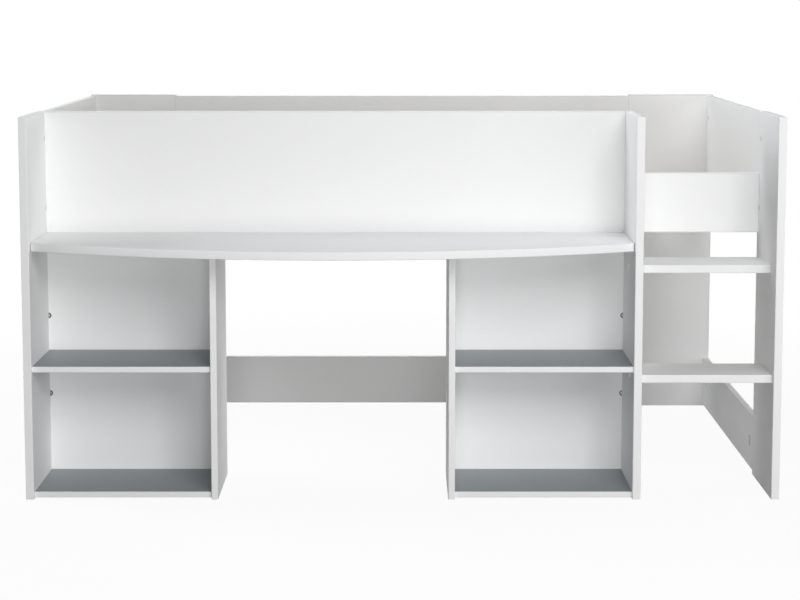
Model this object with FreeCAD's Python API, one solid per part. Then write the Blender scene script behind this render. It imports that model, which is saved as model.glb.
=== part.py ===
import FreeCAD, Part
import math
import os

Vector = FreeCAD.Vector

# A mid-height bed with a bowed desk, two open bookcases and two steps in front of it.
# Millimetres: +X is to the right of a person who faces the desk, +Y is to the rear, +Z is up.

# Panels round the bed
bed_length = 2046.0
upright_height = 1040.0
upright_width = 280.0
upright_thickness = 22.0
board_thickness = 18.0
mattress_well_width = 910.0
guard_top_drop = 4.0
ladder_rail_height = 168.0
lower_rail_height = 156.0
end_rail_lift = 5.0
rear_rail_lift = 10.0

# Desk: its front edge is one arc that stands forward of the arc's ends by the bow
desk_height = 677.0
desk_thickness = 22.0
desk_bow = 177.0
desk_end_setback = 17.0
desk_end_gap = 1.0
desk_corner_radius = 8.0

# Bookcases, with heights measured to the undersides of the shelves
bookcase_opening = 482.0
shelf_thickness = 16.0
shelf_setback = 10.0
bottom_shelf_height = 3.0
middle_shelf_height = 348.0

# Steps, with heights measured to their undersides
ladder_opening = 355.0
step_thickness = 22.0
step_depth = 164.0
upper_step_height = 610.0
upper_step_setback = 76.0
lower_step_height = 317.0
lower_step_setback = 23.0

# Slatted base on two cleats
cleat_width = 30.0
cleat_height = 30.0
cleat_lift = 2.0
cleat_end_gap = 1.0
slat_count = 14
slat_width = 72.0
slat_thickness = 15.0
slat_end_gap = 3.0
slat_row_gap = 4.0
strap_width = 25.0
strap_thickness = 1.2
strap_inset = 130.0
strap_end_inset = 18.0
staple_crown = 10.0
staple_wire = 1.2
staple_leg = 9.0

# Cam lock, its bolt and its cover
cam_diameter = 15.0
cam_floor = 1.0
cam_socket_diameter = 6.0
cam_bore_clearance = 0.5
cam_bolt_thread_diameter = 6.0
cam_bolt_thread_length = 10.0
cam_bolt_neck_diameter = 5.0
cam_bolt_head_diameter = 7.0
cam_bolt_head_length = 3.0
cam_cover_lip = 1.0
cam_cover_thickness = 1.0
cam_cover_plug_length = 1.5
cam_cover_clearance = 1.5

# Dowels
dowel_diameter = 8.0
dowel_length = 30.0
dowel_face_depth = 11.0

# Half-moon connectors of the bookcase backs, with their screws
connector_radius = 8.0
connector_depth = 10.0
connector_wall = 1.5
lower_connector_height = 239.0
upper_connector_height = 462.0
connector_screw_diameter = 4.0
connector_screw_length = 14.0
connector_screw_head_diameter = 6.0
connector_screw_head_length = 2.5

# Bolts of the lower rails, each drawn tight in a round pocket
rail_pocket_diameter = 30.0
rail_pocket_setback = 67.0
rail_bolt_diameter = 6.0
rail_bolt_anchor = 14.0
rail_bolt_stub = 3.0
rail_nut_width = 10.0
rail_nut_length = 5.0
rail_nut_clearance = 1.0
rail_dowel_share = 0.29

# Screws that go through the uprights into the steps, with their caps
step_screw_inset = 66.0
step_screw_diameter = 6.0
step_screw_grip = 32.0
step_screw_head_diameter = 10.0
step_screw_head_length = 3.5
step_cap_lip = 1.5
step_cap_thickness = 1.2
step_cap_plug_length = 1.6
step_cap_clearance = 0.2
step_dowel_inset = 28.0

# Screws that hold the slat cleats
cleat_screw_count = 7
cleat_screw_margin = 104.0
cleat_screw_diameter = 4.0
cleat_screw_grip = 11.0
cleat_screw_head_diameter = 8.0
cleat_screw_head_length = 3.0

# Places of the fasteners along the boards that they join, as shares of a guard's height or as lengths
front_guard_cam_share = 0.17
rear_guard_cam_share = 0.27
ladder_rail_cam_share = 0.3
end_board_cam_share = 0.21
shelf_cam_inset = 60.0
desk_end_cam_inset = 62.0
desk_rear_cam_pitch = 560.0
bookcase_back_dowel_offset = 120.0

# Clearance round a fastener in its hole, and past its end
fit = 0.1
end_gap = 0.5

# Sizes that follow from the fasteners: a cam's cover keeps clear of a guard that meets the same panel
cam_cover_diameter = cam_diameter + 2 * cam_cover_lip
cam_setback = board_thickness + cam_cover_diameter / 2 + cam_cover_clearance
cam_bore_diameter = cam_bolt_head_diameter + 2 * cam_bore_clearance
cam_below_bolt = cam_bore_diameter / 2 + cam_floor
cam_socket_depth = cam_cover_plug_length + end_gap
rail_pocket_below_bolt = rail_nut_width / 2 + rail_nut_clearance
rail_half_moon_thickness = rail_nut_width + rail_nut_clearance
step_cap_diameter = step_screw_head_diameter + 2 * step_cap_lip
step_screw_sink = step_cap_thickness + step_cap_plug_length + step_cap_clearance + step_screw_head_length

# Directions
right = Vector(1, 0, 0)
rear = Vector(0, 1, 0)
up = Vector(0, 0, 1)

# Places across the bed
left_face = -bed_length / 2
right_face = bed_length / 2
left_inner = left_face + upright_thickness
right_inner = right_face - upright_thickness
middle_right = right_inner - ladder_opening
middle_left = middle_right - upright_thickness
left_side_left = left_inner + bookcase_opening
right_side_right = middle_left - bookcase_opening
right_side_left = right_side_right - board_thickness
rear_panel_inner = right_face - upright_width

# Places from front to rear
desk_overhang = desk_bow - desk_end_setback
overall_depth = desk_overhang + upright_width + mattress_well_width + upright_thickness
front_edge = desk_overhang - overall_depth / 2
well_front = front_edge + upright_width
guard_front = well_front - board_thickness
well_rear = well_front + mattress_well_width
rear_face = well_rear + upright_thickness
guard_middle = well_front - board_thickness / 2
rear_guard_middle = well_rear + board_thickness / 2

# Heights
desk_top_height = desk_height + desk_thickness
desk_middle = desk_height + desk_thickness / 2
guard_top = upright_height - guard_top_drop
cleat_bottom = desk_top_height + cleat_lift
slat_bottom = cleat_bottom + cleat_height
slat_top = slat_bottom + slat_thickness
strap_top = slat_top + strap_thickness

boards = {}
fasteners = {}
holes = []


def board(x_low, x_high, y_low, y_high, z_low, z_high):
    """A square-edged board between two places on each axis."""
    return Part.makeBox(x_high - x_low, y_high - y_low, z_high - z_low, Vector(x_low, y_low, z_low))


def rod(start, along, diameter, length):
    """A round bar, or the hole for one."""
    return Part.makeCylinder(diameter / 2, length, start, along)


def turned(start, along, steps):
    """A stepped round piece, where each step is a diameter and a length along the axis."""
    profile = [Vector(0, 0, 0)]
    height = 0.0
    for diameter, length in steps:
        profile.append(Vector(diameter / 2, 0, height))
        height += length
        profile.append(Vector(diameter / 2, 0, height))
    profile.append(Vector(0, 0, height))
    profile.append(profile[0])
    piece = Part.Face(Part.makePolygon(profile)).revolve(Vector(0, 0, 0), up, 360)
    piece.Placement = FreeCAD.Placement(start, FreeCAD.Rotation(up, along))
    return piece


def half_disc(centre, axis, toward, radius, depth):
    """Half a round plate: its flat side passes through the centre, its round side looks toward."""
    side = axis.cross(toward)
    first = centre + side * radius
    crown = centre + toward * radius
    last = centre - side * radius
    outline = Part.Wire([Part.Arc(first, crown, last).toShape(), Part.LineSegment(last, first).toShape()])
    return Part.Face(outline).extrude(axis * depth)


def hexagon(centre, axis, flat_side, width, length):
    """A six-sided bar with two of its flats square to flat_side."""
    corner_radius = width / math.sqrt(3)
    corner = axis.cross(flat_side) * corner_radius
    turn = FreeCAD.Rotation(axis, 60)
    points = []
    for _ in range(6):
        points.append(centre + corner)
        corner = turn.multVec(corner)
    points.append(points[0])
    return Part.Face(Part.makePolygon(points)).extrude(axis * length)


def evenly(low, high, count):
    """Places spread evenly from low to high, both ends included."""
    return [low + (high - low) * index / (count - 1) for index in range(count)]


def near_both_ends(low, high, share):
    """Two places, each that share of the way in from one end."""
    inset = (high - low) * share
    return (low + inset, high - inset)


def fasten(group, piece, *cutters):
    """Adds a fastener to its group, and the holes that it needs in the boards."""
    fasteners.setdefault(group, []).append(piece)
    holes.extend(cutters)


def cam_joint(point, into, face, bolt_depth, covered=True):
    """A bolt stands out of one board at point and runs into the next, where a cam draws it tight.

    The cam lies in the board's face on the side that face points to, bolt_depth above the bolt.
    """
    centre = point + into * cam_setback
    mouth = centre + face * bolt_depth
    cam_height = bolt_depth + cam_below_bolt
    lock = rod(mouth, -face, cam_diameter, cam_height)
    rim = centre - into * (cam_diameter / 2)
    bore_length = cam_diameter / 2 + cam_bolt_head_length / 2 + end_gap
    bore = rod(rim, into, cam_bore_diameter, bore_length)
    socket = rod(mouth, -face, cam_socket_diameter, cam_socket_depth)
    pocket = rod(mouth, -face, cam_diameter + 2 * fit, cam_height)
    fasten("cam_locks", lock.cut([bore, socket]), pocket)

    neck_length = cam_setback - cam_bolt_head_length / 2
    bolt_steps = [
        (cam_bolt_thread_diameter, cam_bolt_thread_length),
        (cam_bolt_neck_diameter, neck_length),
        (cam_bolt_head_diameter, cam_bolt_head_length),
    ]
    bolt = turned(point - into * cam_bolt_thread_length, into, bolt_steps)
    thread_depth = cam_bolt_thread_length + end_gap
    hole_steps = [(cam_bolt_thread_diameter + 2 * fit, thread_depth), (cam_bore_diameter, cam_setback)]
    fasten("cam_bolts", bolt, turned(point - into * thread_depth, into, hole_steps))

    if covered:
        plug_diameter = cam_socket_diameter - 2 * fit
        cover_steps = [(cam_cover_diameter, cam_cover_thickness), (plug_diameter, cam_cover_plug_length)]
        fasten("cam_covers", turned(mouth + face * cam_cover_thickness, -face, cover_steps))


def dowel(point, into_face):
    """A dowel that stands dowel_face_depth deep in the board on the into_face side of point."""
    start = point + into_face * dowel_face_depth
    hole_start = start + into_face * end_gap
    hole = rod(hole_start, -into_face, dowel_diameter + 2 * fit, dowel_length + 2 * end_gap)
    fasten("dowels", rod(start, -into_face, dowel_diameter, dowel_length), hole)


def half_moon_connector(point, toward):
    """A half-round cup in a bookcase back's front face, with a screw through its flat side.

    Point is where the face meets the next board, and toward points along the back from there.
    """
    cup = half_disc(point, rear, toward, connector_radius, connector_depth)
    hollow_radius = connector_radius - 2 * connector_wall
    hollow_depth = connector_depth - connector_wall
    hollow = half_disc(point + toward * connector_wall, rear, toward, hollow_radius, hollow_depth)
    axis = point + rear * (hollow_depth / 2)
    screw_start = axis - toward * connector_screw_length
    shank_length = connector_screw_length + connector_wall
    passage = rod(screw_start, toward, connector_screw_diameter + 2 * fit, shank_length + end_gap)
    pocket = half_disc(point, rear, toward, connector_radius + fit, connector_depth)
    fasten("half_moon_connectors", cup.cut([hollow, passage]), pocket)

    screw_steps = [
        (connector_screw_diameter, shank_length),
        (connector_screw_head_diameter, connector_screw_head_length),
    ]
    pilot = rod(screw_start - toward * end_gap, toward, connector_screw_diameter + 2 * fit, shank_length)
    fasten("connector_screws", turned(screw_start, toward, screw_steps), pilot)


def rail_bolt(point, into, face):
    """A bolt from an upright into a rail's end, with a nut and a half-moon washer in a round pocket."""
    centre = point + into * rail_pocket_setback
    mouth = centre + face * (board_thickness / 2)
    pocket_depth = board_thickness / 2 + rail_pocket_below_bolt
    pocket = rod(mouth, -face, rail_pocket_diameter, pocket_depth)
    start = point - into * rail_bolt_anchor
    bolt_length = rail_bolt_anchor + rail_pocket_setback + rail_nut_length + rail_bolt_stub
    passage_start = start - into * end_gap
    passage = rod(passage_start, into, rail_bolt_diameter + 2 * fit, bolt_length + 2 * end_gap)
    fasten("rail_bolts", rod(start, into, rail_bolt_diameter, bolt_length), passage)

    washer_start = centre - face * (rail_half_moon_thickness / 2)
    washer_radius = rail_pocket_diameter / 2 - fit
    washer = half_disc(washer_start, face, -into, washer_radius, rail_half_moon_thickness)
    fasten("rail_half_moons", washer.cut(passage), pocket)
    nut = hexagon(centre, into, face, rail_nut_width, rail_nut_length)
    fasten("rail_nuts", nut.cut(passage))

    dowel_offset = lower_rail_height * rail_dowel_share
    for offset in (-dowel_offset, dowel_offset):
        dowel(point + up * offset, -into)


def step_screw(point, into):
    """A screw from an upright's face, at point, into a step's end, under a cap that lies flush."""
    head_start = point + into * (step_screw_sink - step_screw_head_length)
    shank_length = upright_thickness - step_screw_sink + step_screw_grip
    screw_steps = [
        (step_screw_head_diameter, step_screw_head_length),
        (step_screw_diameter, shank_length),
    ]
    hole_steps = [
        (step_cap_diameter + 2 * fit, step_cap_thickness),
        (step_screw_head_diameter + 2 * fit, step_screw_sink - step_cap_thickness),
        (step_screw_diameter + 2 * fit, shank_length + end_gap),
    ]
    fasten("step_screws", turned(head_start, into, screw_steps), turned(point, into, hole_steps))
    cap_steps = [
        (step_cap_diameter, step_cap_thickness),
        (step_screw_head_diameter, step_cap_plug_length),
    ]
    fasten("step_screw_caps", turned(point, into, cap_steps))


def cleat_screw(point, into):
    """A screw with its head sunk flush in a cleat's outer face, at point."""
    shank_length = cleat_width - cleat_screw_head_length + cleat_screw_grip
    screw_steps = [
        (cleat_screw_head_diameter, cleat_screw_head_length),
        (cleat_screw_diameter, shank_length),
    ]
    hole_steps = [
        (cleat_screw_head_diameter + 2 * fit, cleat_screw_head_length),
        (cleat_screw_diameter + 2 * fit, shank_length + end_gap),
    ]
    fasten("cleat_screws", turned(point, into, screw_steps), turned(point, into, hole_steps))


def make_uprights():
    """Three panels edge-on to the front, and two that face the front at the rear corners."""
    front_panels = {
        "front_left_upright": left_face,
        "middle_upright": middle_left,
        "front_right_upright": right_inner,
    }
    for name, low in front_panels.items():
        high = low + upright_thickness
        boards[name] = board(low, high, front_edge, well_front, 0, upright_height)
    rear_panels = {"rear_left_upright": left_face, "rear_right_upright": rear_panel_inner}
    for name, low in rear_panels.items():
        boards[name] = board(low, low + upright_width, well_rear, rear_face, 0, upright_height)


def make_end_panel(side, outer, outward):
    """The upper board and the lower rail of one end, flush with the uprights' outer faces."""
    inward = -outward
    inner = outer + inward.x * board_thickness
    low, high = sorted((outer, inner))
    middle = (outer + inner) / 2
    rail_top = end_rail_lift + lower_rail_height
    boards[side + "_end_board"] = board(low, high, well_front, well_rear, desk_top_height, guard_top)
    boards[side + "_end_lower_rail"] = board(low, high, well_front, well_rear, end_rail_lift, rail_top)

    upright_bolt_depth = upright_thickness - board_thickness / 2
    for height in near_both_ends(desk_top_height, guard_top, end_board_cam_share):
        cam_joint(Vector(middle, well_front, height), -rear, inward, upright_bolt_depth)
        cam_joint(Vector(middle, well_rear, height), -rear, inward, board_thickness / 2)
    board_middle = (desk_top_height + guard_top) / 2
    dowel(Vector(middle, well_front, board_middle), -rear)
    dowel(Vector(middle, well_rear, board_middle), rear)

    rail_middle = (end_rail_lift + rail_top) / 2
    rail_bolt(Vector(middle, well_front, rail_middle), rear, inward)
    rail_bolt(Vector(middle, well_rear, rail_middle), -rear, inward)


def make_rear_panel():
    """The guard and the lower rail between the two rear uprights, flush with their front faces."""
    low = -rear_panel_inner
    high = rear_panel_inner
    y_range = (well_rear, well_rear + board_thickness)
    rail_top = rear_rail_lift + lower_rail_height
    boards["rear_guard"] = board(low, high, *y_range, desk_top_height, guard_top)
    boards["rear_lower_rail"] = board(low, high, *y_range, rear_rail_lift, rail_top)
    for place, inward in ((low, right), (high, -right)):
        for height in near_both_ends(desk_top_height, guard_top, rear_guard_cam_share):
            cam_joint(Vector(place, rear_guard_middle, height), inward, rear, board_thickness / 2)
        dowel(Vector(place, rear_guard_middle, (desk_top_height + guard_top) / 2), -inward)
        rail_middle = (rear_rail_lift + rail_top) / 2
        rail_bolt(Vector(place, rear_guard_middle, rail_middle), inward, rear)


def make_front_guards():
    """The board between bed and desk, and the low guard behind the steps, joined above the slats."""
    rail_top = desk_top_height + ladder_rail_height
    guards = (
        ("front_guard", left_inner, middle_left, desk_height, upright_height, front_guard_cam_share),
        ("ladder_rail", middle_right, right_inner, desk_top_height, rail_top, ladder_rail_cam_share),
    )
    for name, low, high, bottom, top, cam_share in guards:
        boards[name] = board(low, high, guard_front, well_front, bottom, top)
        for place, inward in ((low, right), (high, -right)):
            for height in near_both_ends(slat_top, top, cam_share):
                cam_joint(Vector(place, guard_middle, height), inward, rear, board_thickness / 2)
            dowel(Vector(place, guard_middle, (slat_top + top) / 2), -inward)


def make_desk():
    """The desk top, with a bowed front edge, and its joints to the uprights and the guard."""
    low = left_inner + desk_end_gap
    high = middle_left - desk_end_gap
    centre = (low + high) / 2
    arc_end = front_edge + desk_end_setback
    left_end = Vector(low, arc_end, desk_height)
    crown = Vector(centre, arc_end - desk_bow, desk_height)
    right_end = Vector(high, arc_end, desk_height)
    right_rear = Vector(high, guard_front, desk_height)
    left_rear = Vector(low, guard_front, desk_height)
    outline = Part.Wire(
        [
            Part.Arc(left_end, crown, right_end).toShape(),
            Part.LineSegment(right_end, right_rear).toShape(),
            Part.LineSegment(right_rear, left_rear).toShape(),
            Part.LineSegment(left_rear, left_end).toShape(),
        ]
    )
    slab = Part.Face(outline).extrude(up * desk_thickness)
    front_corners = []
    for edge in slab.Edges:
        stands = edge.BoundBox.ZLength > desk_thickness / 2
        if stands and edge.CenterOfMass.y < (arc_end + guard_front) / 2:
            front_corners.append(edge)
    boards["desk_top"] = slab.makeFillet(desk_corner_radius, front_corners)

    bolt_depth = desk_thickness / 2
    front_cam = arc_end + desk_end_cam_inset
    rear_cam = guard_front - desk_end_cam_inset
    for place, inward in ((left_inner, right), (middle_left, -right)):
        for depth in (front_cam, rear_cam):
            cam_joint(Vector(place, depth, desk_middle), inward, -up, bolt_depth)
        dowel(Vector(place, (front_cam + rear_cam) / 2, desk_middle), -inward)
    for offset in (-desk_rear_cam_pitch, 0, desk_rear_cam_pitch):
        cam_joint(Vector(centre + offset, guard_front, desk_middle), -rear, -up, bolt_depth)
    for offset in (-desk_rear_cam_pitch / 2, desk_rear_cam_pitch / 2):
        dowel(Vector(centre + offset, guard_front, desk_middle), rear)


def make_shelf(name, low, high, height, covered):
    """A shelf between two panels, with cams in its underside."""
    front = front_edge + shelf_setback
    boards[name] = board(low, high, front, guard_front, height, height + shelf_thickness)
    middle = height + shelf_thickness / 2
    for place, inward in ((low, right), (high, -right)):
        for depth in (front + shelf_cam_inset, guard_front - shelf_cam_inset):
            cam_joint(Vector(place, depth, middle), inward, -up, shelf_thickness / 2, covered)
        dowel(Vector(place, (front + guard_front) / 2, middle), -inward)


def make_bookcase(side, low, high, panel_low, toward_case):
    """An open bookcase: an inner side, a back and two shelves between low and high."""
    panel_high = panel_low + board_thickness
    panel_middle = (panel_low + panel_high) / 2
    name = side + "_bookcase_side"
    boards[name] = board(panel_low, panel_high, front_edge, well_front, 0, desk_height)
    front_cam = front_edge + shelf_setback + shelf_cam_inset
    rear_cam = guard_front - shelf_cam_inset
    for depth in (front_cam, rear_cam):
        cam_joint(Vector(panel_middle, depth, desk_height), -up, toward_case, board_thickness / 2)
    dowel(Vector(panel_middle, (front_cam + rear_cam) / 2, desk_height), up)

    name = side + "_bookcase_back"
    boards[name] = board(low, high, guard_front, well_front, bottom_shelf_height, desk_height)
    for offset in (-bookcase_back_dowel_offset, bookcase_back_dowel_offset):
        dowel(Vector((low + high) / 2 + offset, guard_middle, desk_height), up)
    for place, inward in ((low, right), (high, -right)):
        for height in (lower_connector_height, upper_connector_height):
            half_moon_connector(Vector(place, guard_front, height), inward)

    make_shelf(side + "_bottom_shelf", low, high, bottom_shelf_height, False)
    make_shelf(side + "_middle_shelf", low, high, middle_shelf_height, True)


def make_steps():
    """Two steps between the middle and the right upright."""
    places = {
        "upper_step": (upper_step_height, upper_step_setback),
        "lower_step": (lower_step_height, lower_step_setback),
    }
    for name, (height, setback) in places.items():
        front = front_edge + setback
        back = front + step_depth
        middle = height + step_thickness / 2
        boards[name] = board(middle_right, right_inner, front, back, height, height + step_thickness)
        screw_depth = front + step_screw_inset
        step_screw(Vector(middle_left, screw_depth, middle), right)
        step_screw(Vector(right_face, screw_depth, middle), -right)
        for depth in (front + step_dowel_inset, back - step_dowel_inset):
            dowel(Vector(middle_right, depth, middle), -right)
            dowel(Vector(right_inner, depth, middle), right)


def make_cleats():
    """Two battens along the bed that carry the slats."""
    low = left_face + board_thickness + cleat_end_gap
    high = right_face - board_thickness - cleat_end_gap
    screw_height = cleat_bottom + cleat_height / 2
    cleats = (
        ("front_slat_cleat", well_front, well_front + cleat_width, well_front + cleat_width, -rear),
        ("rear_slat_cleat", well_rear - cleat_width, well_rear, well_rear - cleat_width, rear),
    )
    for name, front, back, outer, into in cleats:
        boards[name] = board(low, high, front, back, cleat_bottom, slat_bottom)
        for place in evenly(low + cleat_screw_margin, high - cleat_screw_margin, cleat_screw_count):
            cleat_screw(Vector(place, outer, screw_height), into)


def staple(place, depth):
    """A wire staple across a strap, with its two legs through the strap into the slat."""
    wire = staple_wire / 2
    reach = staple_crown / 2
    crown_sides = (place - wire, place + wire, depth - reach, depth + reach)
    piece = board(*crown_sides, strap_top, strap_top + staple_wire)
    cutters = []
    for leg in (depth - reach + wire, depth + reach - wire):
        sides = (place - wire, place + wire, leg - wire, leg + wire)
        piece = piece.fuse(board(*sides, strap_top - staple_leg, strap_top))
        wide = (place - wire - fit, place + wire + fit, leg - wire - fit, leg + wire + fit)
        cutters.append(board(*wide, strap_top - staple_leg - end_gap, strap_top))
    fasten("strap_staples", piece.removeSplitter(), *cutters)


def make_slatted_base():
    """Slats across the bed, held at their spacing by two straps stapled on top of them."""
    front = well_front + slat_end_gap
    back = well_rear - slat_end_gap
    first = left_face + board_thickness + slat_row_gap + slat_width / 2
    centres = evenly(first, -first, slat_count)
    straps = {"front_strap": front + strap_inset, "rear_strap": back - strap_inset}
    for number, centre in enumerate(centres, start=1):
        low = centre - slat_width / 2
        boards[f"slat_{number:02d}"] = board(low, low + slat_width, front, back, slat_bottom, slat_top)
        for depth in straps.values():
            staple(centre, depth)
    strap_low = first - slat_width / 2 + strap_end_inset
    for name, depth in straps.items():
        sides = (depth - strap_width / 2, depth + strap_width / 2)
        boards[name] = board(strap_low, -strap_low, *sides, slat_top, strap_top)


def drilled(solid):
    """A board with the holes of every fastener that enters it."""
    near = [hole for hole in holes if hole.BoundBox.intersect(solid.BoundBox)]
    if not near:
        return solid
    return solid.cut(near)


make_uprights()
make_end_panel("left", left_face, -right)
make_end_panel("right", right_face, right)
make_rear_panel()
make_front_guards()
make_desk()
make_bookcase("left", left_inner, left_side_left, left_side_left, -right)
make_bookcase("right", right_side_right, middle_left, right_side_left, right)
make_steps()
make_cleats()
make_slatted_base()

os.makedirs("parts", exist_ok=True)
for name, solid in boards.items():
    drilled(solid).exportStep(f"parts/{name}.step")
for name, pieces in fasteners.items():
    Part.makeCompound(pieces).exportStep(f"parts/{name}.step")
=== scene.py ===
"""Combination bed of white melamine board: the looks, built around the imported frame."""

import bpy
import numpy as np
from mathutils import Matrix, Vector


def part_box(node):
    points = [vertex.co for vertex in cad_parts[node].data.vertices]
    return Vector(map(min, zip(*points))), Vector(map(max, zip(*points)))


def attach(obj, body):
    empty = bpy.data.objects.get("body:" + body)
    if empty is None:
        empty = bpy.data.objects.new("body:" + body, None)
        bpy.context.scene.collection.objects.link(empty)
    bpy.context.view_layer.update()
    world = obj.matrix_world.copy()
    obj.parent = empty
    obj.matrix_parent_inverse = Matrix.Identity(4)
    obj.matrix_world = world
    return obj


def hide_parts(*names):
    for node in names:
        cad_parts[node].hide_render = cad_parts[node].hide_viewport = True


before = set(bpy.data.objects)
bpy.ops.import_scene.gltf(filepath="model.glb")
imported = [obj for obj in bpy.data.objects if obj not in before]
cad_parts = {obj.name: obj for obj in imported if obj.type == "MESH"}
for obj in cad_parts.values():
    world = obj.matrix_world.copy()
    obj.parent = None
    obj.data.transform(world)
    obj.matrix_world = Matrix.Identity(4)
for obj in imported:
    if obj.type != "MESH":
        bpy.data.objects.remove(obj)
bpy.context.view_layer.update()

# Units
mm = 0.001

# Boards, in millimetres: rounding of a banded edge and of a plain saw cut, and the joint line beside a band
band_radius = 2.0
cut_radius = 0.3
least_radius = 0.05
joint_width = 0.7
corner_points = 5
crease_degrees = 20.0

# Finishes of a board, by their place in its list
face_number = 0
band_number = 1
joint_number = 2

# Desk top, in millimetres
desk_corner_radius = 8.0
desk_end_setback = 17.0
desk_arc_points = 120
desk_corner_points = 10

# Slatted base, in millimetres
slat_count = 14
slat_radius = 2.0
slat_end_radius = 1.0
grain_lean_degrees = 2.0
grain_shift = (25.0, 400.0, 15.0)
grain_seed = 4
heart_depth = 55.0
strap_sag = 1.6
strap_selvedge = 0.5
strap_stations_per_slat = 16
staple_crown = 10.0
staple_wire = 1.2
staple_wire_points = 8
staple_bend = 1.0
staple_leg = 3.0

# Cams and their covers, in millimetres and in shares of a board's height
cam_diameter = 15.2
cam_depth = 13.0
cam_setback = 28.0
shelf_cam_inset = 60.0
desk_cam_inset = 62.0
desk_cam_pitch = 560.0
end_board_cam_share = 0.21
rear_guard_cam_share = 0.27
front_guard_cam_share = 0.17
ladder_rail_cam_share = 0.3
cover_diameter = 17.0
cover_thickness = 1.0
cover_crown = 0.3
cover_groove_depth = 0.25
cover_dome_shares = (0.02, 0.3, 0.55)
cover_groove_shares = (0.62, 0.78)
cover_rim_shares = (0.84, 0.95, 1.0, 1.0)

# Half-moon connectors of the bookcase backs, in millimetres
connector_heights = (239.0, 462.0)
connector_radius = 8.0
connector_depth = 10.0
connector_wall = 3.4
connector_sink = 1.0
connector_rim = 0.4
connector_chord_shares = (0.0, 0.0, 0.3, 0.5, 0.7, 0.7)
connector_screw_inset = 4.25
connector_screw_head = 6.0
connector_screw_reach = 4.0
connector_screw_radius_shares = (0.6, 0.6, 0.95, 1.0, 0.9, 0.55, 0.05)
connector_screw_height_shares = (-0.3, 0.4, 0.4, 0.6, 0.85, 1.0, 1.0)

# Pockets of the rail bolts, and how far outside a face every bore starts, in millimetres
pocket_diameter = 30.0
pocket_depth = 15.0
pocket_setback = 67.0
bore_overrun = 1.0

# Caps of the step screws, in millimetres
step_screw_inset = 66.0
step_cap_diameter = 13.0
step_cap_recess = 1.6
step_cap_crown = 0.35
step_cap_dome = 3.0
step_cap_lap = 0.9
step_cap_gap = 0.3
step_cap_shares = (1.0, 1.0, 0.94, 0.85, 0.7, 0.5, 0.3, 0.02)

# Cleat screws and the cross sunk into their heads, in millimetres
cleat_screw_count = 7
cleat_screw_half_span = 900.0
cleat_screw_head = 8.0
cleat_screw_crown = 1.1
cleat_screw_shares = (1.0, 0.98, 0.9, 0.75, 0.6, 0.45, 0.3, 0.15, 0.03)
recess_depth = 1.2
recess_half_width = 0.7
recess_reach = 2.6

# Points round a turned form
round_points = 40

# How far a wave texture turns over one unit at a scale of one, in radians
wave_radians = 20.0

# Camera: place in metres, view straight along the bed's depth and a little down
camera_place = (-0.007, -5.4988, 1.3477)
camera_pitch_degrees = 6.199
camera_lens = 84.308
camera_shift_y = -0.12

# Soft studio lamps: place and aim in metres, size in metres, power in watts, and colour.
# The cool ones light the slats, whose pine throws a little warm light back on the boards.
plain_white = "#ffffff"
cool_white = "#f8fbff"
lamps = {
    "key_softbox": ((1.3, -4.6, 3.0), (0.0, -0.2, 0.5), 2.0, 102.0, plain_white),
    "low_front_card": ((0.0, -5.6, 0.7), (0.0, -0.2, 0.4), 1.2, 66.0, plain_white),
    "low_right_softbox": ((2.6, -4.9, 0.8), (0.0, -0.2, 0.4), 1.6, 22.0, plain_white),
    "right_softbox": ((3.6, -3.6, 1.2), (0.0, -0.2, 0.5), 1.6, 22.0, plain_white),
    "left_high_softbox": ((-4.5, 0.6, 3.2), (0.6, 0.3, 0.8), 2.0, 83.0, cool_white),
    "left_softbox": ((-4.6, 0.6, 2.0), (0.6, 0.3, 0.8), 1.6, 51.0, cool_white),
    "right_side_card": ((4.6, 0.6, 0.8), (0.6, 0.3, 0.6), 1.6, 50.0, plain_white),
    "overhead_softbox": ((0.3, 0.0, 2.8), (0.3, 0.0, 0.5), 1.6, 13.0, cool_white),
    "rear_softbox": ((0.0, 5.2, 1.7), (0.0, 0.6, 0.6), 2.6, 100.0, plain_white),
}
ambient_strength = 0.03
backdrop_strength = 1.0

# Floor: a wide sheet of pale paper, in metres
floor_reach = 9.0
floor_fade_start = 1.4
floor_fade_end = 3.0
floor_glow = 0.93


def linear(colour):
    """sRGB hex to linear red, green, blue, alpha."""
    shares = [int(colour[i:i + 2], 16) / 255 for i in (1, 3, 5)]
    return tuple(c / 12.92 if c <= 0.04045 else ((c + 0.055) / 1.055) ** 2.4 for c in shares) + (1.0,)


def add(tree, kind, links=None, **settings):
    """Adds one node: settings are its own properties, and links gives each input a value or another node's
    output."""
    made = tree.nodes.new(kind)
    for key, value in settings.items():
        setattr(made, key, value)
    for key, value in (links or {}).items():
        if isinstance(value, bpy.types.NodeSocket):
            tree.links.new(value, made.inputs[key])
        else:
            made.inputs[key].default_value = value
    return made


def new_material(name, roughness, ior=1.5, metallic=0.0):
    """A material with one principled shader, whose constants are set on its own sockets."""
    made = bpy.data.materials.new(name)
    made.use_nodes = True
    tree = made.node_tree
    tree.nodes.clear()
    shader = add(
        tree, "ShaderNodeBsdfPrincipled",
        {"Roughness": roughness, "IOR": ior, "Metallic": metallic},
    )
    add(tree, "ShaderNodeOutputMaterial", {"Surface": shader.outputs["BSDF"]})
    return made, tree, shader


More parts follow.
